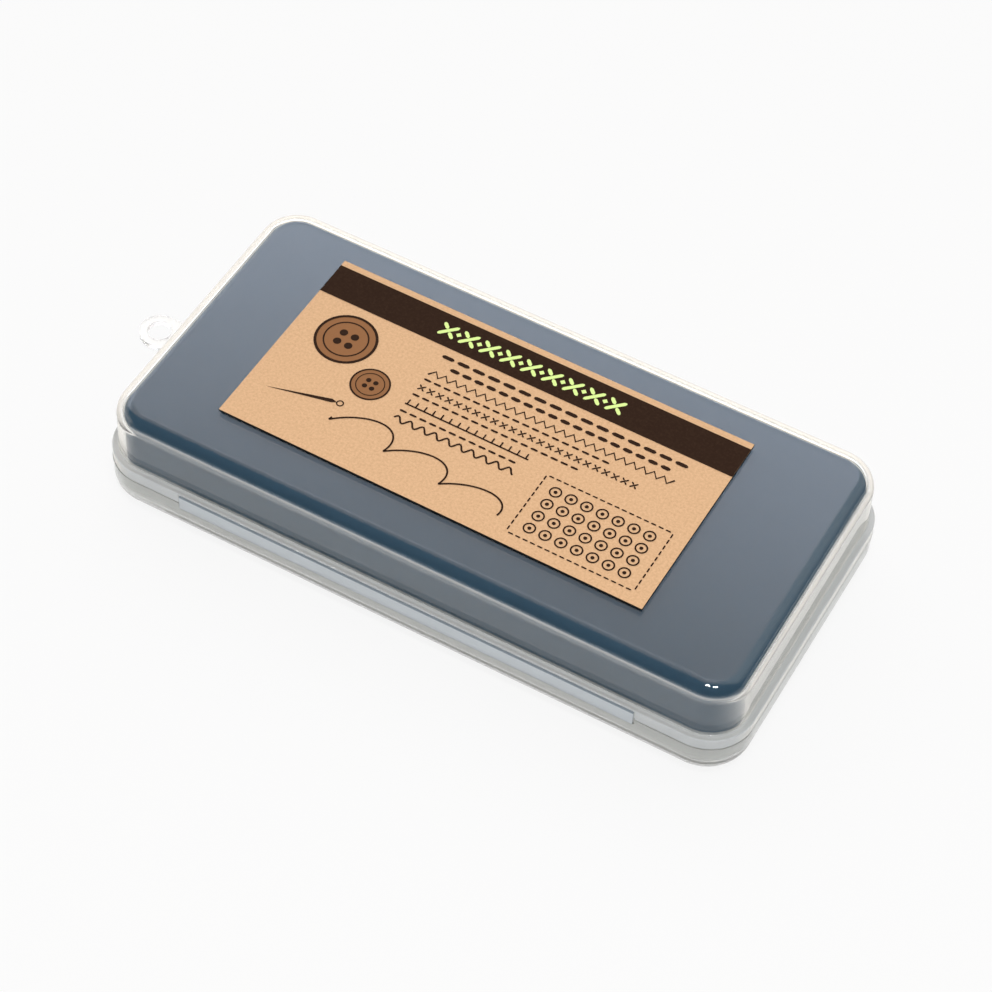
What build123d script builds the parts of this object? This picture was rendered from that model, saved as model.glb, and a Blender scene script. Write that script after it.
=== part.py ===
from build123d import *

import math
import os

# A hinged two-part box of clear plastic for sewing-machine bobbins, with a soft slotted
# insert in its deep half. Millimetres. The box lies closed on the flat face of its lid,
# with the deep half on top: the origin is the middle of the lid's flat face, +X runs along
# the long side, +Y points to the side with the catch and +Z points up.

# Deep half
case_length = 174.6       # along X, at the flat face
case_width = 85.7         # along Y, at the flat face
corner_radius = 10.3      # corners of the flat face, seen from above
deep_height = 19.5        # flat face to seam
deep_round = 4.7          # round between the flat face and the walls
wall = 1.6                # all walls of both halves
draft = 1.0               # degrees that the walls open towards the seam

# Collar round the mouth of the deep half
collar_height = 3.5       # shoulder to seam
collar_step = 1.6         # how far the collar stands out from the wall
collar_round = 0.4        # outer edge of the shoulder

# Lid
lid_height = 11.1         # flat face to seam
lid_round = 6.0           # round between the flat face and the walls
seam_gap = 0.2            # air between the two rims

# Lip on the lid that finds its place inside the collar
lip_height = 1.6
lip_thickness = 1.2
lip_clearance = 0.25      # lip to the inside of the collar
lip_start = 16.0          # from the hinge side to the two ends of the lip

# Strap hinge on the front long side
strap_length = 127.0
base_flex_rise = 2.6      # rim of the deep half to its flex line
lid_flex_drop = 1.2       # rim of the lid to its flex line
strap_thickness = 0.7
strap_proud = 0.4         # how far it stands out from the collar
strap_gap = 0.2           # strap to the bottom of its recess
flex_gap = 0.1            # flex web to the edge of the recess
strap_end_gap = 0.4       # strap to the ends of its recess
recess_overrun = 1.0      # how far the recess is cut past the outside of the strap

# Catch on the back long side
catch_width = 34.0
catch_thickness = 1.3
catch_drop = 4.5          # rim of the lid to the flex line of the catch
catch_gap = 0.3           # flap to the collar, and hook to the shoulder
hook_reach = 1.3          # how far the hook lies over the shoulder
hook_thickness = 1.2
thumb_reach = 1.6         # how far the thumb edge leans out
thumb_height = 1.8
ledge_height = 1.4        # ledge on the lid that carries the catch

# Hang tab on the left short side
tab_width = 10.6
tab_thickness = 1.4
tab_reach = 9.8           # collar to the middle of the hole
tab_hole_radius = 3.2

# Soft insert
insert_mouth_drop = 1.6   # rim of the deep half to the open face of the insert
insert_clearance = 0.4    # insert to the walls of the deep half
insert_seat_gap = 0.3     # insert to the floor of the deep half
insert_round = 3.0        # round between the floor and the sides of the insert
insert_mouth_round = 0.5
slots_along = 7
slots_across = 4
slot_pitch_along = 24.0
slot_pitch_across = 20.0
slot_length = 21.4        # takes a bobbin 20.5 across
slot_width = 12.4         # takes a bobbin 11.7 wide
slot_depth = 13.0
slot_corner_radius = 1.6

# Paper label on the flat face of the deep half
label_length = 118.0
label_width = 59.0
label_thickness = 0.5
label_shift_x = -2.8      # middle of the label from the middle of the box
label_shift_y = 1.1
label_turn = -0.5         # degrees

# What follows from these sizes
box_height = lid_height + seam_gap + deep_height
opening_slope = math.tan(math.radians(draft))
shoulder_depth = deep_height - collar_height
collar_length = case_length + 2 * (shoulder_depth * opening_slope + collar_step)
collar_width = case_width + 2 * (shoulder_depth * opening_slope + collar_step)
collar_radius = corner_radius + collar_step
collar_bottom = lid_height + seam_gap
shoulder_top = collar_bottom + collar_height

strap_outer_y = -collar_width / 2 - strap_proud
strap_middle_y = strap_outer_y + strap_thickness / 2
recess_y = strap_outer_y + strap_thickness + strap_gap
web_radius = strap_thickness / 2
lid_flex_z = lid_height - lid_flex_drop
base_flex_z = collar_bottom + base_flex_rise
strap_height = base_flex_z - lid_flex_z
strap_middle_z = (base_flex_z + lid_flex_z) / 2

insert_height = deep_height - wall - insert_seat_gap - insert_mouth_drop

catch_inner_y = collar_width / 2 + catch_gap
catch_flex_y = catch_inner_y + catch_thickness / 2
catch_flex_z = lid_height - catch_drop
catch_web_radius = catch_thickness / 2


def open_block(length, width, radius, height):
    """A rounded block that stands on z = 0 and opens upwards by the draft."""
    return extrude(RectangleRounded(length, width, radius), height, taper=-draft)


def tray(length, width, radius, height, floor_round):
    """An open tray on z = 0: one wall thickness in the floor and in the sides."""
    outer = open_block(length, width, radius, height)
    outer = fillet(outer.edges().group_by(Axis.Z)[0], floor_round)
    lift = wall * opening_slope
    inner = open_block(
        length - 2 * wall + 2 * lift,
        width - 2 * wall + 2 * lift,
        radius - wall,
        height,
    )
    inner = fillet(inner.edges().group_by(Axis.Z)[0], floor_round - wall)
    return outer - Pos(0, 0, wall) * inner


def turned_over(shape):
    """A piece of the deep half, made mouth up on z = 0, moved to its place in the closed box."""
    return Pos(0, 0, box_height) * Rot(180, 0, 0) * shape


def strap_recess():
    """The space that is cut into both halves for the strap hinge."""
    height = strap_height + 2 * (web_radius + flex_gap)
    depth = recess_y - strap_outer_y + recess_overrun
    return Pos(0, recess_y - depth / 2, strap_middle_z) * Box(
        strap_length + 2 * strap_end_gap, depth, height
    )


def make_base_shell():
    """The deep half: a tray whose walls step out into a collar at the mouth."""
    shell = tray(case_length, case_width, corner_radius, deep_height, deep_round)
    collar = Pos(0, 0, shoulder_depth) * extrude(
        RectangleRounded(collar_length, collar_width, collar_radius), collar_height
    )
    collar = fillet(collar.edges().group_by(Axis.Z)[0], collar_round)
    inside = Pos(0, 0, shoulder_depth + wall) * extrude(
        RectangleRounded(
            collar_length - 2 * wall, collar_width - 2 * wall, collar_radius - wall
        ),
        collar_height,
    )
    mouth_lift = wall * opening_slope
    throat = Pos(0, 0, wall) * open_block(
        case_length - 2 * wall + 2 * mouth_lift,
        case_width - 2 * wall + 2 * mouth_lift,
        corner_radius - wall,
        deep_height,
    )
    shell = shell + (collar - throat) - inside
    return turned_over(shell) - strap_recess()


def make_lid_shell():
    """The lid: a shallow tray with a locating lip and the ledge that carries the catch."""
    closing = lid_height * opening_slope
    shell = tray(
        collar_length - 2 * closing,
        collar_width - 2 * closing,
        collar_radius - closing,
        lid_height,
        lid_round,
    )
    shell = shell - strap_recess()

    ledge_top = catch_flex_z - catch_web_radius - flex_gap
    ledge_depth = catch_flex_y - (collar_width / 2 - wall / 2)
    ledge = Pos(0, catch_flex_y - ledge_depth / 2, ledge_top - ledge_height / 2) * Box(
        catch_width, ledge_depth, ledge_height
    )
    return shell + ledge + make_lip()


def make_lip():
    """A low wall on the rim of the lid, along the two short sides and the catch side."""
    length = collar_length - 2 * (wall + lip_clearance)
    width = collar_width - 2 * (wall + lip_clearance)
    radius = collar_radius - wall - lip_clearance
    root = wall / 2 + lip_clearance
    foot = RectangleRounded(length + 2 * root, width + 2 * root, radius + root)
    upper = RectangleRounded(length, width, radius)
    hollow = RectangleRounded(
        length - 2 * lip_thickness, width - 2 * lip_thickness, radius - lip_thickness
    )
    lip = extrude(foot - hollow, -wall) + extrude(upper - hollow, lip_height)
    cut = Box(
        collar_length,
        lip_start,
        2 * (lip_height + wall),
        align=(Align.CENTER, Align.MIN, Align.CENTER),
    )
    lip = lip - Pos(0, -collar_width / 2, 0) * cut
    return Pos(0, 0, lid_height) * lip


def make_hinge_strap():
    """The flat band between the two flex lines."""
    return Pos(0, strap_middle_y, strap_middle_z) * Box(
        strap_length, strap_thickness, strap_height
    )


def half_round_web(length, radius, way):
    """Half a rod along X with its flat side on z = 0, round side up (1) or down (-1)."""
    rod = Rot(0, 90, 0) * Cylinder(radius, length)
    half = Pos(0, 0, way * radius) * Box(length, 2 * radius, 2 * radius)
    return rod & half


def make_catch_flap():
    """The catch: a flap that stands on its flex line, a hook over the shoulder and a thumb edge."""
    inner = catch_inner_y
    outer = catch_inner_y + catch_thickness
    hook_low = shoulder_top + catch_gap
    hook_high = hook_low + hook_thickness
    top = hook_high + thumb_height
    section = Polyline(
        (inner, catch_flex_z),
        (inner, hook_low),
        (inner - catch_gap - hook_reach, hook_low),
        (inner - catch_gap - hook_reach, hook_low + hook_thickness / 2),
        (inner, hook_high + hook_thickness / 2),
        (outer + thumb_reach - catch_thickness, top),
        (outer + thumb_reach, top),
        (outer, hook_low),
        (outer, catch_flex_z),
        close=True,
    )
    return extrude(Plane.YZ * make_face(section), catch_width / 2, both=True)


def make_hang_tab():
    """A flat tab with a round hole, in line with the seam end of the collar."""
    middle = collar_length / 2 + tab_reach
    plate = Pos(tab_reach / 2 - middle, 0, 0) * Rectangle(tab_reach, tab_width)
    plate = plate + Pos(-middle, 0, 0) * Circle(tab_width / 2)
    plate = plate - Pos(-middle, 0, 0) * Circle(tab_hole_radius)
    return Pos(0, 0, collar_bottom) * extrude(plate, tab_thickness)


def make_insert():
    """The soft insert: a block that fills the deep half, with a slot for each bobbin."""
    start = wall + insert_seat_gap
    lift = start * opening_slope
    side_gap = wall + insert_clearance
    block = open_block(
        case_length - 2 * side_gap + 2 * lift,
        case_width - 2 * side_gap + 2 * lift,
        corner_radius - side_gap,
        insert_height,
    )
    block = fillet(block.edges().group_by(Axis.Z)[0], insert_round)
    block = fillet(block.edges().group_by(Axis.Z)[-1], insert_mouth_round)
    floor = insert_height - slot_depth
    slot = extrude(RectangleRounded(slot_length, slot_width, slot_corner_radius), slot_depth)
    for place in GridLocations(slot_pitch_along, slot_pitch_across, slots_along, slots_across):
        block = block - Pos(0, 0, floor) * place * slot
    return turned_over(Pos(0, 0, start) * block)


def make_label_card():
    """The paper label, stuck on the flat face of the deep half."""
    card = extrude(Rectangle(label_length, label_width), label_thickness)
    return Pos(label_shift_x, label_shift_y, box_height) * Rot(0, 0, label_turn) * card


def main():
    lid_web = half_round_web(strap_length, web_radius, -1)
    base_web = half_round_web(strap_length, web_radius, 1)
    catch_web = half_round_web(catch_width, catch_web_radius, -1)
    pieces = {
        "lid_shell": make_lid_shell(),
        "base_shell": make_base_shell(),
        "hinge_strap": make_hinge_strap(),
        "lid_flex_web": Pos(0, strap_middle_y, lid_flex_z) * lid_web,
        "base_flex_web": Pos(0, strap_middle_y, base_flex_z) * base_web,
        "catch_flap": make_catch_flap(),
        "catch_flex_web": Pos(0, catch_flex_y, catch_flex_z) * catch_web,
        "hang_tab": make_hang_tab(),
        "insert": make_insert(),
        "label_card": make_label_card(),
    }
    os.makedirs("parts", exist_ok=True)
    for name, piece in pieces.items():
        export_step(piece, f"parts/{name}.step")
    print("box height", round(box_height, 3))
    print("strap flex lines: y", round(strap_middle_y, 3), "z", round(lid_flex_z, 3), round(base_flex_z, 3))
    print("catch flex line: y", round(catch_flex_y, 3), "z", round(catch_flex_z, 3))
    print("collar", round(collar_length, 3), "by", round(collar_width, 3))


main()
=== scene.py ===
# %% [markdown]
# # A clear case for sewing-machine bobbins
#
# The case lies closed on its lid. It is one moulding of clear plastic: a deep half, a shallow lid
# and a strap hinge between them. A soft navy insert fills the deep half, and a paper label sits
# on top.
#
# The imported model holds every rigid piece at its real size. All of it could be modelled again
# here, but then sizes and joints would drift apart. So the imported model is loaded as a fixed
# frame, and this script dresses it: it gives the plastic, foam and paper their finish, models the
# soft insert, prints a pattern on the label and lights it all.

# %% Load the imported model
import math

import bmesh
import bpy
from mathutils import Matrix, Vector


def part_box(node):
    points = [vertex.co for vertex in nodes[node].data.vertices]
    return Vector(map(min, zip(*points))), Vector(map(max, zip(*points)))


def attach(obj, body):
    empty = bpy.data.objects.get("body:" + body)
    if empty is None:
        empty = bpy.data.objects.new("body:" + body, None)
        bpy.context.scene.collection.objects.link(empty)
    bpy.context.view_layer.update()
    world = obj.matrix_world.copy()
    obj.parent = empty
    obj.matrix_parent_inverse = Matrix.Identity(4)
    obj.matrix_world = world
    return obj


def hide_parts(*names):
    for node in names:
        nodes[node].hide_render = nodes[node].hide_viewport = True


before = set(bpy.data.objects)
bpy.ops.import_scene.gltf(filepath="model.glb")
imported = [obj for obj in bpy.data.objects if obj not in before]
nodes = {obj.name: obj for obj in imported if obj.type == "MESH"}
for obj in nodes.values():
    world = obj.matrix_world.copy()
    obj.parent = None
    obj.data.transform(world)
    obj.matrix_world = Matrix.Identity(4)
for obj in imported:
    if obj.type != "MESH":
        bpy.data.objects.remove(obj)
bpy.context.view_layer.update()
MM = 0.001

print("pieces of the packed model:", ", ".join(sorted(nodes)))

# %% [markdown]
# ## Materials as graphs
#
# A material in Blender is a graph of nodes. It could be drawn by hand in the editor, but a script
# can make it again at any time. Almost every graph here ends in one Principled shader, so a first
# helper makes that shader. Plain numbers are set on the shader's own sockets, because other
# programs can read them there. The other helpers each add one node and return its output, so that
# a graph reads like a formula.


# %% Helpers for nodes
def add_node(tree, kind, **sockets):
    """A new node in a graph, with some of its inputs set."""
    node = tree.nodes.new(kind)
    for socket, value in sockets.items():
        node.inputs[socket.replace("_", " ")].default_value = value
    return node


def principled(name, color, roughness, **sockets):
    """A new material with one Principled shader, and that shader."""
    material = bpy.data.materials.new(name)
    material.use_nodes = True
    shader = material.node_tree.nodes["Principled BSDF"]
    shader.inputs["Base Color"].default_value = (*color, 1)
    shader.inputs["Roughness"].default_value = roughness
    for socket, value in sockets.items():
        shader.inputs[socket.replace("_", " ")].default_value = value
    return material, shader


def feed(tree, value, socket):
    """Sets an input to a number or a colour, or links another node's output to it."""
    if isinstance(value, bpy.types.NodeSocket):
        tree.links.new(value, socket)
    elif isinstance(value, tuple):
        socket.default_value = (*value, 1)
    else:
        socket.default_value = value


# %% Helpers for formulas, ramps and mixtures
def combined(tree, operation, first, second):
    """A calculation with two numbers, such as their product or the larger of the two."""
    node = add_node(tree, "ShaderNodeMath")
    node.operation = operation
    feed(tree, first, node.inputs[0])
    feed(tree, second, node.inputs[1])
    return node.outputs[0]


def ramp(tree, value, span, start, end, kind="SMOOTHSTEP"):
    """A number that goes from start to end while the value goes through a span."""
    low, high = span
    node = add_node(
        tree, "ShaderNodeMapRange", From_Min=low, From_Max=high, To_Min=start, To_Max=end
    )
    node.interpolation_type = kind
    feed(tree, value, node.inputs["Value"])
    return node.outputs[0]


# A Mix node has sockets for numbers, vectors and colours. These are the ones for colours.
MIX_SHARE, MIX_FIRST, MIX_SECOND, MIX_RESULT = 0, 6, 7, 2


def mixed(tree, share, first, second):
    """A colour between two colours."""
    node = add_node(tree, "ShaderNodeMix")
    node.data_type = "RGBA"
    for value, number in ((share, MIX_SHARE), (first, MIX_FIRST), (second, MIX_SECOND)):
        feed(tree, value, node.inputs[number])
    return node.outputs[MIX_RESULT]


# %% [markdown]
# ## Clear moulded plastic
#
# The case is polypropylene. It is clear where it is thin and flat, and milky where light has a
# long way to go through it: in the collar round the seam, along the rounds and at grazing edges.
# The long way could be given as a volume that absorbs and scatters, but that is slow, noisy and
# lost in an export. So one Principled shader refracts like clear plastic, and a number called
# haze takes some of its transmission away and leaves a pale matt body in its place.
#
# Haze is the largest of five parts: the height on the case, how flat the surface is to the eye,
# the same once more for the rounds alone, a pale line stored on the mesh that is a painted
# highlight low on the rounds, and painted shade along the lower edge of the lid, where it meets
# the table. Heights are in metres from the table.

# %% Where the plastic is cloudy
SEAM_FADE = (0.0146, 0.0152)
LID_FADE = (0.0050, 0.0075)
LID_CLOUDY_SHARE = 0.5


def cloudy_zone(tree, height):
    """1 round the seam, half of that low on the lid, and 0 higher up on the deep half."""
    below_seam = ramp(tree, height, SEAM_FADE, 1.0, 0.0)
    above_lid = ramp(tree, height, LID_FADE, LID_CLOUDY_SHARE, 1.0)
    return combined(tree, "MULTIPLY", below_seam, above_lid)


ROUND_LOW = (0.0266, 0.0276)
ROUND_HIGH = (0.03055, 0.03072)
ROUND_RIM = (0.3, 0.55)


def round_zone(tree, height, facing):
    """1 on the upper rounds, where they turn away from the eye. The flat face stays clear."""
    above = ramp(tree, height, ROUND_LOW, 0.0, 1.0)
    on_round = combined(tree, "MULTIPLY", above, ramp(tree, height, ROUND_HIGH, 1.0, 0.0))
    return combined(tree, "MULTIPLY", on_round, ramp(tree, facing, ROUND_RIM, 0.0, 1.0))


print("cloudy up to mm:", round(SEAM_FADE[1] / MM, 1))

# %% Where the lid's edge gets painted shade
LID_MIDDLE = (0.077, 0.0325, 0.0)
LID_EDGE_OUT = (0.0100, 0.0106)
LID_EDGE_LOW, LID_EDGE_HIGH = (0.0004, 0.0010), (0.0027, 0.0036)
LID_EDGE_LEFT = (-0.086, -0.060)


def out_from_middle(tree, place):
    """The distance of a point from the flat middle of the case, seen from above."""
    steps = (
        ("MULTIPLY", (1, 1, 0)),
        ("ABSOLUTE", None),
        ("SUBTRACT", LID_MIDDLE),
        ("MAXIMUM", (0, 0, 0)),
        ("LENGTH", None),
    )
    for operation, value in steps:
        node = add_node(tree, "ShaderNodeVectorMath")
        node.operation = operation
        feed(tree, place, node.inputs[0])
        if value:
            node.inputs[1].default_value = value
        place = node.outputs["Value" if operation == "LENGTH" else "Vector"]
    return place


def lid_edge_shade_zone(tree, place, along, height):
    """1 along the lower outer edge of the lid, where it gets painted shade, fading to the left
    end.
    """
    edge = ramp(tree, height, LID_EDGE_LOW, 0.0, 1.0)
    for part in (
        ramp(tree, height, LID_EDGE_HIGH, 1.0, 0.0),
        ramp(tree, out_from_middle(tree, place), LID_EDGE_OUT, 0.0, 1.0),
        ramp(tree, along, LID_EDGE_LEFT, 0.0, 1.0),
    ):
        edge = combined(tree, "MULTIPLY", edge, part)
    return edge


print("dark edge of the lid up to mm:", round(LID_EDGE_HIGH[1] / MM, 1))

# %% [markdown]
# ## One function for every clear piece
#
# Lamps can't shine through refracting surfaces without a lot of noise. For shadow rays, and for
# light on its way between matt surfaces, the plastic therefore counts as a plain tinted window.
# The eye still sees the refracting shader. The pieces differ in how milky they are, so the
# function takes that as numbers: a colour and a share for the cloudy zone and for the rim, and
# the window's tint.


# %% A tinted window for light
def mixed_shaders(tree, share, first, second):
    """Ends a graph in a mixture of two shaders."""
    node = add_node(tree, "ShaderNodeMixShader")
    for value, number in ((share, 0), (first, 1), (second, 2)):
        feed(tree, value, node.inputs[number])
    output = tree.nodes.get("Material Output") or tree.nodes.new("ShaderNodeOutputWorld")
    feed(tree, node.outputs[0], output.inputs["Surface"])


def let_light_through(tree, shader, window_color):
    """Makes the material a tinted window for shadow rays and for light between matt surfaces."""
    path = add_node(tree, "ShaderNodeLightPath")
    share = combined(
        tree, "MAXIMUM", path.outputs["Is Shadow Ray"], path.outputs["Is Diffuse Ray"]
    )
    window = add_node(tree, "ShaderNodeBsdfTransparent", Color=(*window_color, 1))
    mixed_shaders(tree, share, shader.outputs[0], window.outputs[0])


# %% The clear plastic
PLASTIC_ROUGHNESS = 0.04
PLASTIC_IOR = 1.49
CLEAR_COLOR = (0.94, 0.935, 0.915)
EARLY_RIM, LATE_RIM = (0.5, 0.85), (0.74, 0.92)
ROUND_RIM_COLOR, ROUND_RIM_SHARE = (0.86, 0.815, 0.75), 0.72
# The near-black colour low on the lid's outer edge is painted shade where the lid meets the
# table.
LID_EDGE_SHADE_COLOR, LID_EDGE_SHADE_SHARE = (0.1, 0.092, 0.07), 0.8


def make_plastic(name, cloudy, rim, window, rim_span=LATE_RIM, clear=CLEAR_COLOR):
    """Clear plastic. Cloudy and rim are a colour and a share each."""
    material, shader = principled(
        name, clear, PLASTIC_ROUGHNESS, Transmission_Weight=1.0, IOR=PLASTIC_IOR
    )
    tree = material.node_tree
    place = add_node(tree, "ShaderNodeTexCoord").outputs["Object"]
    axes = add_node(tree, "ShaderNodeSeparateXYZ")
    feed(tree, place, axes.inputs[0])
    facing = add_node(tree, "ShaderNodeLayerWeight", Blend=0.5).outputs["Facing"]
    # The stored line is a painted highlight: pale haze low on the rounds.
    line = add_node(tree, "ShaderNodeAttribute")
    line.attribute_name = "painted_highlight_line"

    cloudy_part = cloudy_zone(tree, axes.outputs["Z"])
    rim_part = ramp(tree, facing, rim_span, 0.0, 1.0)
    round_part = round_zone(tree, axes.outputs["Z"], facing)
    edge_shade_part = lid_edge_shade_zone(tree, place, axes.outputs["X"], axes.outputs["Z"])
    haze = line.outputs["Fac"]
    for part, share in (
        (cloudy_part, cloudy[1]),
        (rim_part, rim[1]),
        (round_part, ROUND_RIM_SHARE),
        (edge_shade_part, LID_EDGE_SHADE_SHARE),
    ):
        haze = combined(tree, "MAXIMUM", haze, combined(tree, "MULTIPLY", part, share))
    feed(tree, combined(tree, "SUBTRACT", 1.0, haze), shader.inputs["Transmission Weight"])

    color = mixed(tree, rim_part, mixed(tree, cloudy_part, clear, cloudy[0]), rim[0])
    color = mixed(tree, round_part, color, ROUND_RIM_COLOR)
    # Painted shade: a near-black colour along the lower edge of the lid.
    color = mixed(tree, edge_shade_part, color, LID_EDGE_SHADE_COLOR)
    feed(tree, color, shader.inputs["Base Color"])
    let_light_through(tree, shader, window)
    return material


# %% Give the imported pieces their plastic
DEEP_CLEAR = (0.93, 0.92, 0.885)
PALE_WINDOW = (0.86, 0.86, 0.84)
STRAP_MILK = ((0.7, 0.74, 0.78), 0.5)
# The flex webs' dark blue-grey is painted shade for the dark lines where the thin webs show the
# navy insert.
FLEX_PAINTED_SHADE = ((0.32, 0.37, 0.42), 0.5)
TAB_MILK = ((0.95, 0.945, 0.93), 0.3)

deep_plastic = make_plastic(
    "deep_plastic_look",
    cloudy=((0.74, 0.76, 0.77), 0.4),
    rim=((0.97, 0.92, 0.83), 0.4),
    window=PALE_WINDOW,
    rim_span=EARLY_RIM,
    clear=DEEP_CLEAR,
)
# The lid's cloudy and rim colours are greyer than the deep half's: partly milky plastic, partly
# painted shade of the shaded table seen through the lid.
lid_plastic = make_plastic(
    "lid_plastic_look",
    cloudy=((0.64, 0.65, 0.63), 0.32),
    rim=((0.66, 0.66, 0.63), 0.5),
    window=(0.66, 0.66, 0.64),
)
catch_plastic = make_plastic(
    "catch_plastic_look",
    cloudy=((0.82, 0.83, 0.82), 0.6),
    rim=((0.86, 0.86, 0.84), 0.65),
    window=PALE_WINDOW,
    rim_span=EARLY_RIM,
)
strap_plastic = make_plastic("strap_plastic_look", STRAP_MILK, STRAP_MILK, PALE_WINDOW)
flex_plastic = make_plastic("flex_plastic_look", FLEX_PAINTED_SHADE, FLEX_PAINTED_SHADE, PALE_WINDOW)
tab_plastic = make_plastic("tab_plastic_look", TAB_MILK, TAB_MILK, (0.95, 0.95, 0.94))
FINISH = {
    "lid_shell": lid_plastic,
    "catch_flap": catch_plastic,
    "hang_tab": tab_plastic,
    "hinge_strap": strap_plastic,
    "lid_flex_web": flex_plastic,
    "base_flex_web": flex_plastic,
    "catch_flex_web": flex_plastic,
}


def give_material(obj, material):
    """Makes this the only material of an object."""
    obj.data.materials.clear()
    obj.data.materials.append(material)


for name, material in FINISH.items():
    give_material(nodes[name], material)
print("plastic pieces:", len(FINISH))

# %% [markdown]
# ## Rings and lofts
#
# The deep half and the insert are rounded blocks, and so is each hollow in them. They could start
# as cubes with bevels, but a bevel's corners are hard to keep at exact sizes. A rounded rectangle
# is four quarter circles, so one function gives its points, and another joins a stack of such
# rings into a closed solid. All sizes are in millimetres here and become metres in the points.

# %% Helpers for rounded blocks
CORNER_STEPS = 16


def rounded_ring(length, width, radius, z):
    """Points of a rounded rectangle at one height, anticlockwise seen from above."""
    points = []
    for quarter, (side_x, side_y) in enumerate(((1, 1), (-1, 1), (-1, -1), (1, -1))):
        centre_x = side_x * (length / 2 - radius)
        centre_y = side_y * (width / 2 - radius)
        for step in range(CORNER_STEPS + 1):
            angle = math.radians(90 * (quarter + step / CORNER_STEPS))
            x = centre_x + radius * math.cos(angle)
            y = centre_y + radius * math.sin(angle)
            points.append((x * MM, y * MM, z * MM))
    return points


def add_loft(mesh, rings, shift=(0, 0)):
    """Adds a closed solid to a bmesh, through rings that run from low to high."""
    layers = []
    for ring in rings:
        moved = [(x + shift[0] * MM, y + shift[1] * MM, z) for x, y, z in ring]
        layers.append([mesh.verts.new(point) for point in moved])
    for lower, upper in zip(layers, layers[1:]):
        for i in range(len(lower)):
            j = (i + 1) % len(lower)
            mesh.faces.new((lower[i], lower[j], upper[j], upper[i]))
    mesh.faces.new(list(reversed(layers[0])))
    mesh.faces.new(layers[-1])


def finished_object(name, mesh):
    """Turns a bmesh into an object in the scene."""
    data = bpy.data.meshes.new(name)
    mesh.to_mesh(data)
    mesh.free()
    obj = bpy.data.objects.new(name, data)
    bpy.context.scene.collection.objects.link(obj)
    return obj


# %% [markdown]
# ## The deep half as one smooth moulding
#
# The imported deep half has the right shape, but its surface is cut into flat facets, and clear
# glossy plastic shows each facet as a kink in its reflections. A subdivision surface would smooth
# them and also shrink the rounds. So the section is drawn again as a chain of points, in
# millimetres outwards from the edge of the flat face and up from the table, and the chain is
# carried round a rounded rectangle. A point close beside each round keeps the flat stretches flat
# when the surface is shaded smooth. The recess for the strap hinge is then cut out, as in the
# real tool.

# %% Helpers for sections
SUPPORT = 0.08
SHORTEST_SUPPORTED = 6 * SUPPORT


def arc(centre, radius, start, end, steps):
    """Points on an arc of a section, from one angle in degrees to another."""
    turns = [math.radians(start + (end - start) * i / steps) for i in range(steps + 1)]
    return [(centre[0] + radius * math.cos(t), centre[1] + radius * math.sin(t)) for t in turns]


def with_supports(points):
    """The section with a point added close to both ends of each straight stretch."""
    result = [points[0]]
    for start, end in zip(points, points[1:]):
        gap = Vector(end) - Vector(start)
        if gap.length > SHORTEST_SUPPORTED:
            step = gap.normalized() * SUPPORT
            result += [tuple(Vector(start) + step), tuple(Vector(end) - step)]
        result.append(end)
    return result


# %% The section of the deep half
CASE_LENGTH, CASE_WIDTH, CASE_CORNER = 174.6, 85.7, 10.3
WALL = 1.6
WALL_DEGREES = 1.0
WALL_SLOPE = math.tan(math.radians(WALL_DEGREES))
DEEP_ROUND = 4.7
COLLAR_HEIGHT, COLLAR_STEP = 3.5, 1.6
COLLAR_ROUND, RIM_ROUND, FOOT_ROUND = 0.4, 0.15, 0.3
FLAT_START = 0.5
base_low, base_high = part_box("base_shell")
FACE_Z, SEAM_Z = base_high.z / MM, base_low.z / MM


def deep_section():
    """From the flat face down the outside, round the rim and up the inside."""
    shoulder = SEAM_Z + COLLAR_HEIGHT
    foot = (FACE_Z - shoulder) * WALL_SLOPE
    collar = foot + COLLAR_STEP
    ledge = shoulder - WALL
    throat = (FACE_Z - ledge) * WALL_SLOPE - WALL
    round_x = DEEP_ROUND * (WALL_SLOPE - math.sqrt(1 + WALL_SLOPE**2))
    round_z = FACE_Z - DEEP_ROUND
    points = [(round_x - FLAT_START, FACE_Z)]
    points += arc((round_x, round_z), DEEP_ROUND, 90, WALL_DEGREES, steps=36)
    points += arc((foot + FOOT_ROUND, shoulder + FOOT_ROUND), FOOT_ROUND, 180, 270, steps=5)
    centre = (collar - COLLAR_ROUND, shoulder - COLLAR_ROUND)
    points += arc(centre, COLLAR_ROUND, 90, 0, steps=6)
    points += arc((collar - RIM_ROUND, SEAM_Z + RIM_ROUND), RIM_ROUND, 0, -90, steps=4)
    points += arc((foot + RIM_ROUND, SEAM_Z + RIM_ROUND), RIM_ROUND, -90, -180, steps=4)
    points += [(foot, ledge)]
    points += arc((throat + RIM_ROUND, ledge + RIM_ROUND), RIM_ROUND, 270, 180, steps=4)
    points += arc((round_x, round_z), DEEP_ROUND - WALL, WALL_DEGREES, 90, steps=16)
    points += [(round_x - FLAT_START, FACE_Z - WALL)]
    return with_supports(points)


print("height of the deep half in mm:", round(FACE_Z - SEAM_Z, 1))
print("points round its section:", len(deep_section()))


# %% Helpers for cuts
def cut_away(obj, tool):
    """Subtracts one object from another for good."""
    cut = obj.modifiers.new("cut", "BOOLEAN")
    cut.operation = "DIFFERENCE"
    cut.solver = "EXACT"
    cut.object = tool
    graph = bpy.context.evaluated_depsgraph_get()
    made = bpy.data.meshes.new_from_object(obj.evaluated_get(graph))
    obj.modifiers.clear()
    obj.data = made
    bpy.data.objects.remove(tool)


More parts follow.
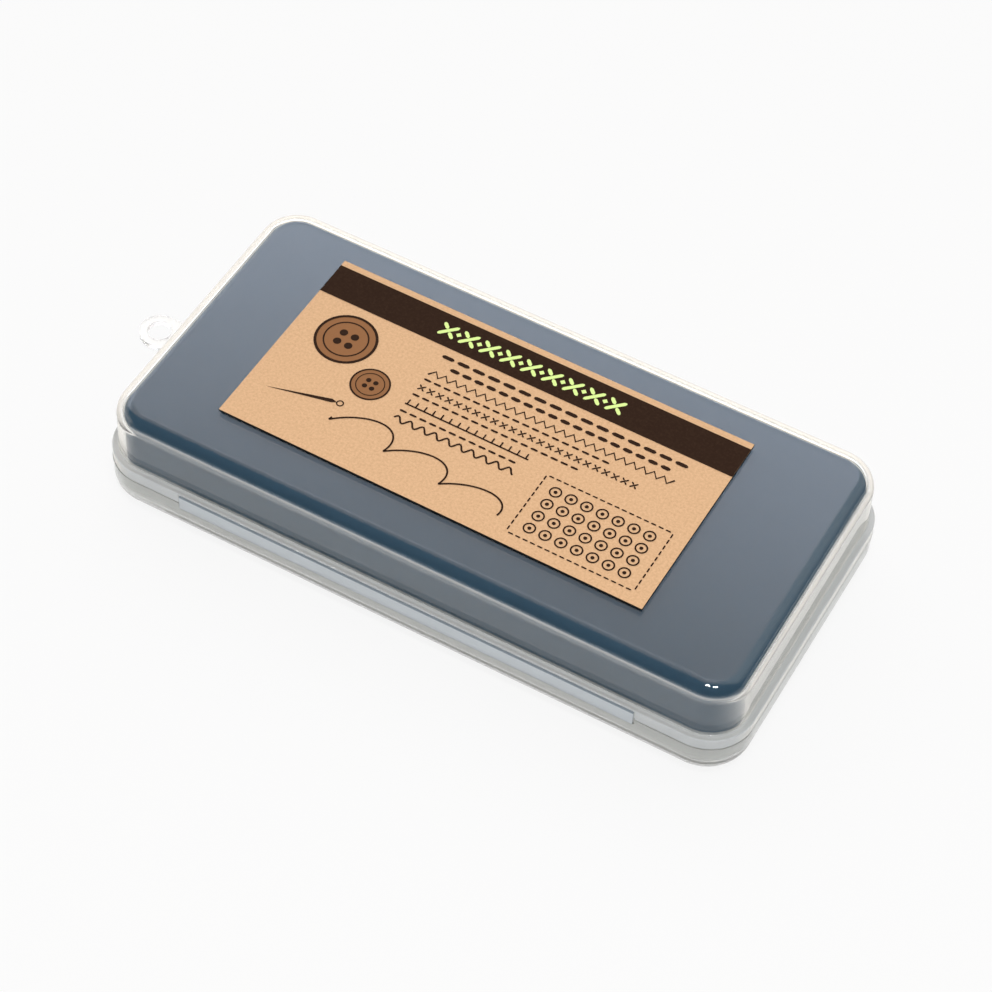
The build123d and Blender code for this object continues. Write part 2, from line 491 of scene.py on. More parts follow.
def block_between(name, low, high):
    """A plain block between two corners in millimetres, used as a cutting tool."""
    mesh = bmesh.new()
    bmesh.ops.create_cube(mesh, size=1)
    size = [top - bottom for bottom, top in zip(low, high)]
    middle = [(top + bottom) / 2 for bottom, top in zip(low, high)]
    place = Matrix.Translation(middle) @ Matrix.Diagonal((*size, 1))
    bmesh.ops.transform(mesh, matrix=Matrix.Scale(MM, 4) @ place, verts=mesh.verts)
    return finished_object(name, mesh)


# %% Build the deep half
RECESS_END_GAP, RECESS_GAP, RECESS_WEB = 0.4, 0.2, 0.45
RECESS_OVERRUN = 1


def make_deep_half():
    """The deep half, with the recess for the strap hinge cut into its collar."""
    mesh = bmesh.new()
    rings = [
        rounded_ring(CASE_LENGTH + 2 * out, CASE_WIDTH + 2 * out, CASE_CORNER + out, z)
        for out, z in deep_section()
    ]
    add_loft(mesh, rings)
    bmesh.ops.recalc_face_normals(mesh, faces=mesh.faces)
    shell = finished_object("deep_half", mesh)
    strap_low, strap_high = (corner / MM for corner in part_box("hinge_strap"))
    recess = block_between(
        "strap_recess",
        (strap_low.x - RECESS_END_GAP, strap_low.y - RECESS_OVERRUN, strap_low.z - RECESS_WEB),
        (strap_high.x + RECESS_END_GAP, strap_high.y + RECESS_GAP, strap_high.z + RECESS_WEB),
    )
    cut_away(shell, recess)
    return shell


deep_half = make_deep_half()
print("deep half faces:", len(deep_half.data.polygons))

# %% [markdown]
# ## A painted highlight line along the rounds
#
# Low on the outer rounds a soft pale line, broader on the short ends, is a painted highlight: it
# paints in the bright line of reflected light there as haze in the plastic. A texture would have
# to be unwrapped for it. A number stored on each point of the mesh
# needs no unwrapping, stays on the moulding at every pose and is read by the plastic's graph. Two
# short tables give it by height in millimetres, one for the long sides and one for the ends.

# %% Mark the painted highlight line
# Pale haze by height in mm, a painted highlight line along the sides and along the ends.
HIGHLIGHT_LINE_ALONG = ((26.0, 0.0), (27.5, 0.04), (28.0, 0.3), (28.3, 0.36), (28.75, 0.0))
HIGHLIGHT_LINE_ENDS = ((24.5, 0.0), (26.4, 0.35), (28.1, 0.5), (28.55, 0.0))
END_SHARPNESS = 6
SHARPEST_SMOOTH = math.radians(35)


def value_at(table, place):
    """The value at a place in a table of (place, value) pairs. Beyond its ends it is 0."""
    for (low, start), (high, end) in zip(table, table[1:]):
        if low <= place < high:
            return start + (end - start) * (place - low) / (high - low)
    return 0.0


def mark_highlight_line(shell):
    """Stores how strongly the painted highlight line hazes the outside of the shell at each
    point.
    """
    values = shell.data.attributes.new("painted_highlight_line", "FLOAT", "POINT")
    for vertex in shell.data.vertices:
        x, y, z = vertex.co / MM
        past_end = max(abs(x) - CASE_LENGTH / 2 + CASE_CORNER, 0)
        past_side = max(abs(y) - CASE_WIDTH / 2 + CASE_CORNER, 0)
        out = math.hypot(past_end, past_side)
        if out > CASE_CORNER - WALL:
            end_share = (past_end / out) ** END_SHARPNESS
            along, ends = value_at(HIGHLIGHT_LINE_ALONG, z), value_at(HIGHLIGHT_LINE_ENDS, z)
            values.data[vertex.index].value = along + (ends - along) * end_share


def shade_smooth(obj):
    """Shades an object smooth, apart from its sharp edges."""
    obj.data.shade_smooth()
    obj.data.set_sharp_from_angle(angle=SHARPEST_SMOOTH)


mark_highlight_line(deep_half)
shade_smooth(deep_half)
give_material(deep_half, deep_plastic)
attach(deep_half, "base")
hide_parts("base_shell")
marked = sum(1 for item in deep_half.data.attributes["painted_highlight_line"].data if item.value > 0)
print("points on the cloudy line:", marked)

# %% [markdown]
# ## The soft insert
#
# The insert is a block of closed-cell foam in the deep half, with a slot for each of 28 bobbins.
# Its slots face the lid. Seen through the plastic it is a plain navy block, but the open box
# shows the slots, so they are really cut. Subtracting the slots one by one would work too, but
# one mesh that holds all of them does it in a single step. Each slot shape flares at the mouth,
# which leaves the soft rim that foam has.

# %% Sizes of the insert
insert_low, insert_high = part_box("insert")
INSERT_LENGTH = (insert_high.x - insert_low.x) / MM
INSERT_WIDTH = (insert_high.y - insert_low.y) / MM
INSERT_MOUTH = insert_low.z / MM
INSERT_FLOOR = insert_high.z / MM
INSERT_CORNER, SMALLEST_CORNER = 8.6, 1.0
INSERT_ROUND, INSERT_RIM = 3.0, 0.8
ROUND_STEPS = 8


def quarter_turn():
    """The sine and cosine of angles from 0 to 90 degrees."""
    turns = [math.radians(90 * step / ROUND_STEPS) for step in range(ROUND_STEPS + 1)]
    return [(math.sin(turn), math.cos(turn)) for turn in turns]


def insert_rings():
    """Rings of the block from its open face up to the face that lies against the case."""
    sizes = []
    for sine, cosine in quarter_turn():
        sizes.append((INSERT_RIM * (1 - sine), INSERT_MOUTH + INSERT_RIM * (1 - cosine)))
    for sine, cosine in quarter_turn():
        height = INSERT_FLOOR - INSERT_ROUND + INSERT_ROUND * sine
        inset = INSERT_ROUND * (1 - cosine) + (height - INSERT_MOUTH) * WALL_SLOPE
        sizes.append((inset, height))
    rings = []
    for inset, z in sizes:
        corner = max(INSERT_CORNER - inset, SMALLEST_CORNER)
        rings.append(rounded_ring(INSERT_LENGTH - 2 * inset, INSERT_WIDTH - 2 * inset, corner, z))
    return rings


insert_height = INSERT_FLOOR - INSERT_MOUTH
print("insert in mm:", [round(edge, 1) for edge in (INSERT_LENGTH, INSERT_WIDTH, insert_height)])

# %% The shape of one slot
SLOTS_ALONG, SLOTS_ACROSS = 7, 4
SLOT_PITCH_ALONG, SLOT_PITCH_ACROSS = 24.0, 20.0
SLOT_LENGTH, SLOT_WIDTH, SLOT_DEPTH = 21.4, 12.4, 13.0
SLOT_CORNER, SMALLEST_SLOT_CORNER = 1.6, 0.3
SLOT_FLOOR_ROUND = 1.2
BELOW_MOUTH = 1.0


def slot_rings():
    """Rings of one slot from below the open face, through its flared mouth, up to its floor."""
    sizes = [(INSERT_RIM, INSERT_MOUTH - BELOW_MOUTH)]
    for sine, cosine in quarter_turn():
        sizes.append((INSERT_RIM * (1 - sine), INSERT_MOUTH + INSERT_RIM * (1 - cosine)))
    floor = INSERT_MOUTH + SLOT_DEPTH
    for sine, cosine in quarter_turn():
        sizes.append((-SLOT_FLOOR_ROUND * (1 - cosine), floor - SLOT_FLOOR_ROUND * (1 - sine)))
    rings = []
    for offset, z in sizes:
        corner = max(SLOT_CORNER + offset, SMALLEST_SLOT_CORNER)
        rings.append(rounded_ring(SLOT_LENGTH + 2 * offset, SLOT_WIDTH + 2 * offset, corner, z))
    return rings


print("slots:", SLOTS_ALONG * SLOTS_ACROSS, "rings in each:", len(slot_rings()))


# %% Build the insert
def make_insert():
    """The block of foam with its slots cut out."""
    block_mesh = bmesh.new()
    add_loft(block_mesh, insert_rings())
    block = finished_object("bobbin_insert", block_mesh)
    slots_mesh = bmesh.new()
    rings = slot_rings()
    for column in range(SLOTS_ALONG):
        for row in range(SLOTS_ACROSS):
            x = (column - (SLOTS_ALONG - 1) / 2) * SLOT_PITCH_ALONG
            y = (row - (SLOTS_ACROSS - 1) / 2) * SLOT_PITCH_ACROSS
            add_loft(slots_mesh, rings, (x, y))
    cut_away(block, finished_object("slot_shapes", slots_mesh))
    return block


insert = make_insert()
shade_smooth(insert)
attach(insert, "base")
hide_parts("insert")
print("insert faces:", len(insert.data.polygons))

# %% [markdown]
# ## The look of the foam
#
# Closed-cell foam is matt, with a grain of tiny cells and a slight unevenness of colour. The
# cells could be real dents in the mesh, but they are far smaller than a pixel. Noise at two
# scales does both: the fine one tilts the surface a little, the coarse one shifts the colour.

# %% Navy foam
FOAM_COLOR = (0.043, 0.094, 0.158)
FOAM_DARKER = (0.036, 0.082, 0.141)
FOAM_ROUGHNESS, FOAM_SHINE = 0.8, 0.1
FOAM_GRAIN, GRAIN_DETAIL = 2600.0, 1.0
FOAM_CLOUDS, CLOUD_DETAIL = 60.0, 3.0
GRAIN_STRENGTH, GRAIN_DEPTH = 0.02, 0.0002


def noise(tree, place, scale, detail, **sockets):
    """Soft random spots, fixed to the object."""
    node = add_node(tree, "ShaderNodeTexNoise", Scale=scale, Detail=detail, **sockets)
    feed(tree, place, node.inputs["Vector"])
    return node.outputs["Fac"]


def make_foam():
    """Matt foam with a fine grain and soft clouds of colour."""
    material, shader = principled(
        "navy_foam_look", FOAM_COLOR, FOAM_ROUGHNESS, Specular_IOR_Level=FOAM_SHINE
    )
    tree = material.node_tree
    place = add_node(tree, "ShaderNodeTexCoord").outputs["Object"]
    clouds = noise(tree, place, FOAM_CLOUDS, CLOUD_DETAIL)
    feed(tree, mixed(tree, clouds, FOAM_DARKER, FOAM_COLOR), shader.inputs["Base Color"])
    bump = add_node(tree, "ShaderNodeBump", Strength=GRAIN_STRENGTH, Distance=GRAIN_DEPTH)
    grain = noise(tree, place, FOAM_GRAIN, GRAIN_DETAIL)
    feed(tree, grain, bump.inputs["Height"])
    feed(tree, bump.outputs["Normal"], shader.inputs["Normal"])
    return material


give_material(insert, make_foam())
print("foam grain per metre:", FOAM_GRAIN)

# %% [markdown]
# ## Kraft paper
#
# The label is unbleached card. Close up it is a mat of short fibres, lighter and darker, with no
# gloss. A photograph of paper could be laid over it, but noise with a high detail and some
# contrast gives the same speckle and needs no image. The cut edge of the card is in shade and
# looks nearly black from the front, so the faces that stand upright get a painted dark shade,
# found from the direction they face.

# %% Kraft paper
KRAFT_COLOR = (0.69, 0.438, 0.252)
KRAFT_DARKER = (0.54, 0.326, 0.172)
KRAFT_EDGE_SHADE = (0.035, 0.026, 0.024)
KRAFT_ROUGHNESS, KRAFT_SHINE = 0.75, 0.2
FIBRE_SCALE, FIBRE_DETAIL, FIBRE_ROUGHNESS = 1500.0, 5.0, 0.75
FIBRE_CONTRAST = (0.3, 0.62)
UPRIGHT_SPAN = (0.3, 0.6)


def make_kraft():
    """Speckled card with a painted dark shade on its cut edge."""
    material, shader = principled(
        "kraft_paper_look", KRAFT_COLOR, KRAFT_ROUGHNESS, Specular_IOR_Level=KRAFT_SHINE
    )
    tree = material.node_tree
    place = add_node(tree, "ShaderNodeTexCoord")
    fibres = noise(
        tree, place.outputs["Object"], FIBRE_SCALE, FIBRE_DETAIL, Roughness=FIBRE_ROUGHNESS
    )
    contrast = ramp(tree, fibres, FIBRE_CONTRAST, 0.0, 1.0, "LINEAR")
    card = mixed(tree, contrast, KRAFT_DARKER, KRAFT_COLOR)
    direction = add_node(tree, "ShaderNodeSeparateXYZ")
    feed(tree, place.outputs["Normal"], direction.inputs[0])
    # Painted shade: the upright faces of the card take a near-black colour.
    side = ramp(tree, direction.outputs["Z"], UPRIGHT_SPAN, 1.0, 0.0, "LINEAR")
    feed(tree, mixed(tree, side, card, KRAFT_EDGE_SHADE), shader.inputs["Base Color"])
    return material


give_material(nodes["label_card"], make_kraft())
print("card faces:", len(nodes["label_card"].data.polygons))

# %% [markdown]
# ## What is printed on the label
#
# The label carries a plain sewing pattern: a dark band with a row of cross stitches, rows of
# sample stitches, two buttons, a needle with its thread and a plan of the 28 slots. An image
# could carry it, but ink that is a mesh stays sharp from close by. Ink lies flat, so each colour
# is one thin mesh that floats 0.05 mm above the layer below. All shapes are drawn in millimetres
# from the middle of the card.

# %% Helpers for flat shapes
CIRCLE_STEPS = 40


def add_flat(ink, points):
    """One flat face through points."""
    ink.faces.new([ink.verts.new((x, y, 0)) for x, y in points])


def circle_points(centre, radius):
    """Points round a circle."""
    turns = [2 * math.pi * i / CIRCLE_STEPS for i in range(CIRCLE_STEPS)]
    return [(centre[0] + radius * math.cos(t), centre[1] + radius * math.sin(t)) for t in turns]


def add_ring(ink, centre, radius, width):
    """A ring of even width inside a radius."""
    inner = [ink.verts.new((x, y, 0)) for x, y in circle_points(centre, radius - width)]
    outer = [ink.verts.new((x, y, 0)) for x, y in circle_points(centre, radius)]
    for i in range(CIRCLE_STEPS):
        j = (i + 1) % CIRCLE_STEPS
        ink.faces.new((outer[i], outer[j], inner[j], inner[i]))


def add_line(ink, points, width):
    """A line of even width through points."""
    left, right = [], []
    for i, point in enumerate(points):
        before = Vector(points[max(i - 1, 0)])
        after = Vector(points[min(i + 1, len(points) - 1)])
        along = (after - before).normalized()
        side = Vector((-along.y, along.x)) * width / 2
        left.append(ink.verts.new((*(Vector(point) + side), 0)))
        right.append(ink.verts.new((*(Vector(point) - side), 0)))
    for i in range(len(points) - 1):
        ink.faces.new((right[i], right[i + 1], left[i + 1], left[i]))


print("points in a circle:", CIRCLE_STEPS)

# %% Helpers for stitches
STITCH_TIP = 0.4
THREAD_GAP = 0.45


def add_stitch(ink, start, end, width):
    """One stitch: a short bar that is thinner at its tips."""
    start, end = Vector(start), Vector(end)
    along = (end - start).normalized()
    side = Vector((-along.y, along.x)) * width / 2
    tip, slim = along * width / 2, side * STITCH_TIP
    lower = [start - slim, start + tip - side, end - tip - side, end - slim]
    upper = [end + slim, end - tip + side, start + tip + side, start + slim]
    add_flat(ink, lower + upper)


def add_cross(ink, centre, size, width):
    """A cross stitch: one whole thread over one that is hidden in the middle."""
    x, y = centre
    half, gap = size / 2, width * THREAD_GAP
    add_stitch(ink, (x - half, y - half), (x + half, y + half), width)
    add_stitch(ink, (x - half, y + half), (x - gap, y + gap), width)
    add_stitch(ink, (x + gap, y - gap), (x + half, y - half), width)


def add_running(ink, y, span, length, gap, width):
    """A row of running stitches."""
    x, end = span
    while x + length <= end:
        add_stitch(ink, (x, y), (x + length, y), width)
        x += length + gap


print("width of a stitch's tip, as a share:", STITCH_TIP)

# %% Draw the rows of sample stitches
LEFT = -21
RUNNING_ROWS = (
    (14.4, (LEFT, 51), 3.4, 1.0, 1.1),
    (11.4, (-17, 47), 2.6, 0.9, 1.1),
    (5.4, (LEFT, 33), 2.0, 0.8, 0.6),
    (-0.3, (LEFT, 27), 2.0, 0.8, 0.6),
    (-6.4, (LEFT, 14), 2.0, 0.8, 0.6),
)
ZIGZAG_Y, ZIGZAG_STEP, ZIGZAG_POINTS, ZIGZAG_RISE = 8.1, 1.4, 50, 0.9
CROSS_Y, CROSS_START, CROSS_STEP, CROSSES = 2.5, -20, 2.6, 24
CROSS_SIZE, CROSS_THREAD = 1.7, 0.42
COMB_Y, COMB_TOP, COMB_END = -3.9, -2.2, 14
TOOTH_START, TOOTH_STEP, TEETH = -20.4, 2.4, 15
WAVE_Y, WAVE_RISE = -9.2, 0.9
WAVE_STEP, WAVE_POINTS, WAVE_TURN = 0.35, 98, 1.8
FINE, THIN = 0.5, 0.45


def draw_samples(ink):
    """Rows of sample stitches, one kind per row."""
    for row in RUNNING_ROWS:
        add_running(ink, *row)
    zigzag = [
        (LEFT + ZIGZAG_STEP * i, ZIGZAG_Y + (ZIGZAG_RISE if i % 2 else -ZIGZAG_RISE))
        for i in range(ZIGZAG_POINTS)
    ]
    add_line(ink, zigzag, FINE)
    for i in range(CROSSES):
        add_cross(ink, (CROSS_START + CROSS_STEP * i, CROSS_Y), CROSS_SIZE, CROSS_THREAD)
    add_line(ink, [(LEFT, COMB_Y), (COMB_END, COMB_Y)], THIN)
    for i in range(TEETH):
        x = TOOTH_START + TOOTH_STEP * i
        add_stitch(ink, (x, COMB_Y), (x, COMB_TOP), CROSS_THREAD)
    wave = []
    for i in range(WAVE_POINTS):
        along = WAVE_STEP * i
        wave.append((LEFT + along, WAVE_Y + WAVE_RISE * math.sin(WAVE_TURN * along)))
    add_line(ink, wave, FINE)


print("rows of running stitches:", len(RUNNING_ROWS), "crosses:", CROSSES, "teeth:", TEETH)

# %% Draw the plan of the slots
PLAN_CORNER = (24.6, -22.2)
PLAN_PITCH = 4.3
PLAN_RING, PLAN_LINE, PLAN_DOT = 1.65, 0.42, 0.5
FRAME_LOW, FRAME_HIGH = (20.2, -25.9), (54.9, -5.6)
FRAME_START = (20.8, -25.3)
FRAME_STEP, FRAME_STITCH, FRAME_LINE = 2.0, 1.4, 0.4
FRAME_ALONG, FRAME_UP = 17, 10


def draw_slot_plan(ink):
    """A plan of the slots in a stitched frame."""
    for column in range(SLOTS_ALONG):
        for row in range(SLOTS_ACROSS):
            centre = (PLAN_CORNER[0] + PLAN_PITCH * column, PLAN_CORNER[1] + PLAN_PITCH * row)
            add_ring(ink, centre, PLAN_RING, PLAN_LINE)
            add_flat(ink, circle_points(centre, PLAN_DOT))
    for y in (FRAME_LOW[1], FRAME_HIGH[1]):
        for i in range(FRAME_ALONG):
            x = FRAME_START[0] + FRAME_STEP * i
            add_stitch(ink, (x, y), (x + FRAME_STITCH, y), FRAME_LINE)
    for x in (FRAME_LOW[0], FRAME_HIGH[0]):
        for i in range(FRAME_UP):
            y = FRAME_START[1] + FRAME_STEP * i
            add_stitch(ink, (x, y), (x, y + FRAME_STITCH), FRAME_LINE)


print("slots on the plan:", SLOTS_ALONG * SLOTS_ACROSS)

# %% Draw the buttons, the needle and its thread
BUTTONS = (((-44.5, 6.5), 8.2), ((-31.5, -3.2), 5.2))
BUTTON_EDGE, BUTTON_GROOVE, BUTTON_GROOVE_LINE = 0.09, 0.72, 0.05
HOLE_OUT, HOLE_RADIUS = 0.28, 0.13
NEEDLE = ((-53.5, -17.2), (-36.6, -13.2), (-35.4, -12.5), (-36.9, -12.1))
EYE_PLACE, EYE_RADIUS, EYE_LINE = (-34.6, -12.4), 1.0, 0.35
THREAD_START, THREAD_END = Vector((-34.0, -14.5)), Vector((16.0, -21.0))
THREAD_POINTS, THREAD_LOOPS = 121, 3
THREAD_SWING, THREAD_RISE, THREAD_LAG, THREAD_CALM = 3.2, 3.4, 0.9, 0.3


def draw_button(dark, brown, centre, radius):
    """A button with four holes and a groove."""
    add_flat(brown, circle_points(centre, radius))
    add_ring(dark, centre, radius, radius * BUTTON_EDGE)
    add_ring(dark, centre, radius * BUTTON_GROOVE, radius * BUTTON_GROOVE_LINE)
    for i in range(4):
        turn = math.radians(45 + 90 * i)
        way = Vector((math.cos(turn), math.sin(turn)))
        hole = Vector(centre) + way * radius * HOLE_OUT
        add_flat(dark, circle_points(hole, radius * HOLE_RADIUS))


def draw_needle(ink):
    """A needle, and a thread that loops away from its eye."""
    add_flat(ink, NEEDLE)
    add_ring(ink, EYE_PLACE, EYE_RADIUS, EYE_LINE)
    thread = []
    for i in range(THREAD_POINTS):
        t = i / (THREAD_POINTS - 1)
        loop = 2 * math.pi * THREAD_LOOPS * t
        place = THREAD_START.lerp(THREAD_END, t)
        place.x -= THREAD_SWING * math.sin(loop)
        place.y -= THREAD_RISE * math.sin(loop + THREAD_LAG) * (1 - THREAD_CALM * t)
        thread.append(place)
    add_line(ink, thread, FINE)


print("buttons:", len(BUTTONS))

# %% Draw the whole label
LABEL_LENGTH = 118.0
BAND_LOW, BAND_HIGH = 17.4, 27.6
BAND_CROSSES, BAND_START, BAND_STEP = 9, -24, 6
BAND_CROSS_SIZE, BAND_THREAD, DIAMOND = 4.2, 1.0, 0.8


def draw_label():
    """The whole pattern, as one mesh for each ink."""
    dark, brown, green = bmesh.new(), bmesh.new(), bmesh.new()
    half = LABEL_LENGTH / 2
    add_flat(dark, [(-half, BAND_LOW), (half, BAND_LOW), (half, BAND_HIGH), (-half, BAND_HIGH)])
    y = (BAND_LOW + BAND_HIGH) / 2
    for i in range(BAND_CROSSES):
        add_cross(green, (BAND_START + BAND_STEP * i, y), BAND_CROSS_SIZE, BAND_THREAD)
    for i in range(BAND_CROSSES - 1):
        x = BAND_START + BAND_STEP * (i + 0.5)
        add_flat(green, [(x - DIAMOND, y), (x, y - DIAMOND), (x + DIAMOND, y), (x, y + DIAMOND)])
    draw_samples(dark)
    draw_slot_plan(dark)
    for centre, radius in BUTTONS:
        draw_button(dark, brown, centre, radius)
    draw_needle(dark)
    return {"label_ink_brown": brown, "label_ink_dark": dark, "label_ink_green": green}


label_meshes = draw_label()
print("shapes in the inks:", {name: len(mesh.faces) for name, mesh in label_meshes.items()})

# %% [markdown]
# ## Ink
#
# The pattern is printed in three colours on rough card, so the ink is matt and misses the deepest
# fibres. Masks in the card's own material could do that, but then every ink would need an image.
# One function makes all three inks, each with small specks of bare paper. One matrix turns and
# lifts the drawn shapes to their place on the card.

# %% Ink for the label
INKS = {
    "label_ink_dark": (0.028, 0.0135, 0.008),
    "label_ink_brown": (0.27, 0.125, 0.055),
    "label_ink_green": (0.66, 0.83, 0.3),
}
INK_ROUGHNESS, INK_SHINE = 0.8, 0.05
SPECK_SCALE, SPECK_DETAIL, SPECK_SPAN = 1800.0, 4.0, (0.45, 0.75)
INK_BARE = 0.015
LABEL_TURN = math.radians(-0.5)
INK_LIFT = 0.05


def make_ink(name, color):
    """Ink that lets a little of the paper through in small specks."""
    material, shader = principled(
        name + "_look", color, INK_ROUGHNESS, Specular_IOR_Level=INK_SHINE
    )
    tree = material.node_tree
    place = add_node(tree, "ShaderNodeTexCoord").outputs["Object"]
    specks = noise(tree, place, SPECK_SCALE, SPECK_DETAIL)
    bare = ramp(tree, specks, SPECK_SPAN, 0.0, INK_BARE, "LINEAR")
    feed(tree, mixed(tree, bare, color, KRAFT_COLOR), shader.inputs["Base Color"])
    return material


label_low, label_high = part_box("label_card")
label_middle = (label_low + label_high) / 2
for layer, (name, mesh) in enumerate(label_meshes.items(), start=1):
    lift = label_high.z + layer * INK_LIFT * MM
    place = Matrix.Translation((label_middle.x, label_middle.y, lift))
    turned = place @ Matrix.Rotation(LABEL_TURN, 4, "Z") @ Matrix.Scale(MM, 4)
    bmesh.ops.transform(mesh, matrix=turned, verts=mesh.verts)
    bmesh.ops.recalc_face_normals(mesh, faces=mesh.faces)
    ink = finished_object(name, mesh)
    give_material(ink, make_ink(name, INKS[name]))
    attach(ink, "base")
    print(name, "faces:", len(ink.data.polygons))

# %% [markdown]
# ## The floor
#
# Such cases are photographed on a white sweep, where the ground is pure white and only the shadow
# below the case shows. More light would wash the case out. So the floor is a matt pale sheet that
# takes the shadow, and for rays from the camera and in reflections it is mostly an even glow of
# the same white.

# %% The floor
FLOOR_SIZE = 8.0
FLOOR_BELOW = 0.0001
FLOOR_ROUGHNESS = 0.9
WHITE = 0.956
FLOOR_GLOW = {"Is Camera Ray": 0.92, "Is Glossy Ray": 0.86, "Is Transmission Ray": 0.05}


def make_floor():
    """A large sheet just below the case."""
    mesh = bmesh.new()
    bmesh.ops.create_grid(mesh, x_segments=1, y_segments=1, size=FLOOR_SIZE / 2)
    floor = finished_object("floor", mesh)
    floor.location.z = -FLOOR_BELOW
    material, shader = principled(
        "white_floor", (WHITE, WHITE, WHITE), FLOOR_ROUGHNESS, Specular_IOR_Level=0.0
    )
    tree = material.node_tree
    path = add_node(tree, "ShaderNodeLightPath")
    share = 0.0
    for ray, most in FLOOR_GLOW.items():
        part = combined(tree, "MULTIPLY", path.outputs[ray], most)
        share = combined(tree, "MAXIMUM", share, part)
    glow = add_node(tree, "ShaderNodeEmission", Color=(WHITE, WHITE, WHITE, 1), Strength=1.0)
    mixed_shaders(tree, share, shader.outputs[0], glow.outputs[0])
    give_material(floor, material)
    return floor


make_floor()
print("floor in m:", FLOOR_SIZE)

# %% [markdown]
# ## The studio
#
# Clear plastic shows little of its own: most of what the eye sees on it is the room. The real set
# has a wide soft panel above and behind the case, which greys the flat face and the front, bright
# paper around the case, and a dark room elsewhere, which lets the navy foam show through the
# rounds. Area lamps could make each of these, but the world's background does it with no noise.
# The direction of a ray gives its place in the room, from -1 to 1: x is to the right, y away and
# z up. Smooth ramps over these draw the panel, the paper and the dark between them. For rays from
# the camera the background is plain white.

# %% Places and strengths of the light
PANEL_X, PANEL_Y = (-0.16, 0.1), (-0.05, 0.2)
PANEL_LOW, PANEL_HIGH = (2.45, 2.5, 2.8), (1.05, 0.86, 0.72)
PANEL_FADE, PANEL_TILT, PANEL_LEFT = (0.712, 0.782), 0.15, 0.39
SWEEP_LIGHT, SWEEP_Z = (1.5, 1.38, 1.15), (0.5, 0.66)
SPILL_LIGHT = (0.9, 0.93, 0.92)
SPILL_X, SPILL_Y, SPILL_Z = (0.45, 0.9), (0.05, 0.3), (0.2, 0.4)
CARD_LIGHT, CARD_X, CARD_Z = (1.1, 1.07, 1.0), (-0.75, -0.6), (0.45, 0.6)
RING_LIGHT, RING_Z = (1.55, 1.65, 1.75), (0.08, 0.2)
ROOM_LIGHT = (0.04, 0.04, 0.04)


def panel_light(tree, x, z):
    """The soft panel: bright and cool low down, dim and warm high up, and the sweep below it."""
    tilt = combined(tree, "MULTIPLY", combined(tree, "ADD", x, PANEL_LEFT), PANEL_TILT)
    slant = combined(tree, "SUBTRACT", z, tilt)
    panel = mixed(tree, ramp(tree, slant, PANEL_FADE, 0.0, 1.0, "LINEAR"), PANEL_LOW, PANEL_HIGH)
    return mixed(tree, ramp(tree, z, SWEEP_Z, 1.0, 0.0), panel, SWEEP_LIGHT)


def room_light(tree, x, y, z):
    """Everything that lights the case, by direction."""
    spill = combined(
        tree, "MULTIPLY", ramp(tree, x, SPILL_X, 1.0, 0.0), ramp(tree, z, SPILL_Z, 0.0, 1.0)
    )
    spill = combined(tree, "MULTIPLY", spill, ramp(tree, y, SPILL_Y, 0.0, 1.0))
    mask = combined(
        tree, "MULTIPLY", ramp(tree, x, PANEL_X, 1.0, 0.0), ramp(tree, y, PANEL_Y, 0.0, 1.0)
    )
    card = combined(
        tree, "MULTIPLY", ramp(tree, x, CARD_X, 1.0, 0.0), ramp(tree, z, CARD_Z, 1.0, 0.0)
    )
    room = mixed(tree, spill, ROOM_LIGHT, SPILL_LIGHT)
    room = mixed(tree, mask, room, panel_light(tree, x, z))
    room = mixed(tree, card, room, CARD_LIGHT)
    return mixed(tree, ramp(tree, z, RING_Z, 1.0, 0.0), room, RING_LIGHT)


print("light of the panel:", PANEL_LOW, "and of the paper below it:", SWEEP_LIGHT)


# %% The world
def make_world():
    """A world that lights by direction and is plain white to the camera."""
    world = bpy.data.worlds.new("studio")
    bpy.context.scene.world = world
    world.use_nodes = True
    tree = world.node_tree
    tree.nodes.clear()
    place = add_node(tree, "ShaderNodeTexCoord")
    axes = add_node(tree, "ShaderNodeSeparateXYZ")
    feed(tree, place.outputs["Generated"], axes.inputs[0])
    light = add_node(tree, "ShaderNodeBackground")
    feed(tree, room_light(tree, *axes.outputs), light.inputs["Color"])
    backdrop = add_node(tree, "ShaderNodeBackground", Color=(1, 1, 1, 1), Strength=WHITE)
    path = add_node(tree, "ShaderNodeLightPath")
    mixed_shaders(tree, path.outputs["Is Camera Ray"], light.outputs[0], backdrop.outputs[0])
    return world


print("nodes in the world:", len(make_world().node_tree.nodes))

# %% [markdown]
# ## Two lamps
#
# The rounds of the front corner hold two small bright spots side by side. Those are two round
# lamps above the set, mirrored in the rounds. Painting the spots on would leave them in place
# when the case is turned. Disks of the right size and place give the spots, and a soft shadow
# with them.

# %% The lamps
LAMP_PLACES = ((0.09, -0.335, 1.47), (0.375, -0.307, 1.42))
LAMP_DIAMETER = 0.18
LAMP_WATTS = 7.5


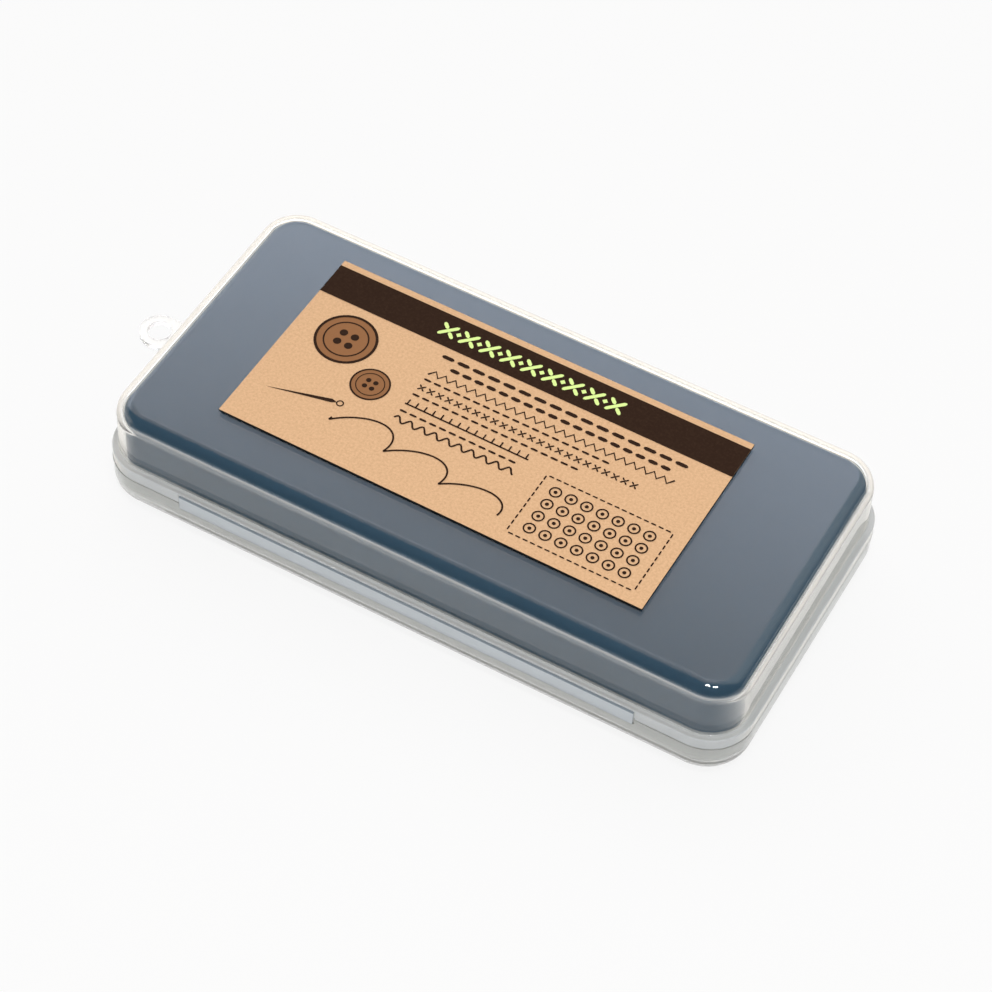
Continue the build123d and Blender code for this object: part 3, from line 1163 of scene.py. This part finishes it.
def make_lamps():
    """Round area lamps that point at the case."""
    for number, place in enumerate(LAMP_PLACES, start=1):
        data = bpy.data.lights.new(f"lamp_{number}", "AREA")
        data.shape = "DISK"
        data.size = LAMP_DIAMETER
        data.energy = LAMP_WATTS
        lamp = bpy.data.objects.new(f"lamp_{number}", data)
        lamp.location = place
        lamp.rotation_mode = "QUATERNION"
        lamp.rotation_quaternion = (-Vector(place)).to_track_quat("-Z", "Y")
        bpy.context.scene.collection.objects.link(lamp)


make_lamps()
print("lamps:", len(LAMP_PLACES))

# %% [markdown]
# ## The camera
#
# The camera's place, its direction and its long lens were worked out from the corners of the case
# in the photograph. The direction could be one matrix of nine numbers. Three turns say in words
# what they do: yaw is round the upright axis, pitch is down towards the table, and roll tilts the
# picture a little.

# %% The camera
CAMERA_PLACE = Vector((0.2109, -0.4152, 0.5816))
CAMERA_YAW = math.radians(-26.77)
CAMERA_PITCH = math.radians(50.96)
CAMERA_ROLL = math.radians(-3.27)
SENSOR_WIDTH = 36.0
PICTURE_WIDTH = 992
FOCAL_PIXELS = 2939.0


def make_camera():
    """The camera, with its lens and its three turns."""
    level = math.cos(CAMERA_PITCH)
    ahead = Vector(
        (math.sin(CAMERA_YAW) * level, math.cos(CAMERA_YAW) * level, -math.sin(CAMERA_PITCH))
    )
    level_right = Vector((math.cos(CAMERA_YAW), -math.sin(CAMERA_YAW), 0))
    level_down = ahead.cross(level_right)
    right = level_right * math.cos(CAMERA_ROLL) + level_down * math.sin(CAMERA_ROLL)
    down = level_down * math.cos(CAMERA_ROLL) - level_right * math.sin(CAMERA_ROLL)
    data = bpy.data.cameras.new("camera")
    data.sensor_width = SENSOR_WIDTH
    data.lens = FOCAL_PIXELS * SENSOR_WIDTH / PICTURE_WIDTH
    camera = bpy.data.objects.new("camera", data)
    bpy.context.scene.collection.objects.link(camera)
    turn = Matrix((right, -down, -ahead)).transposed()
    camera.matrix_world = Matrix.Translation(CAMERA_PLACE) @ turn.to_4x4()
    return camera


camera = make_camera()
bpy.context.scene.camera = camera
bpy.context.scene.view_settings.view_transform = "Standard"
print("lens in mm:", round(camera.data.lens, 1))
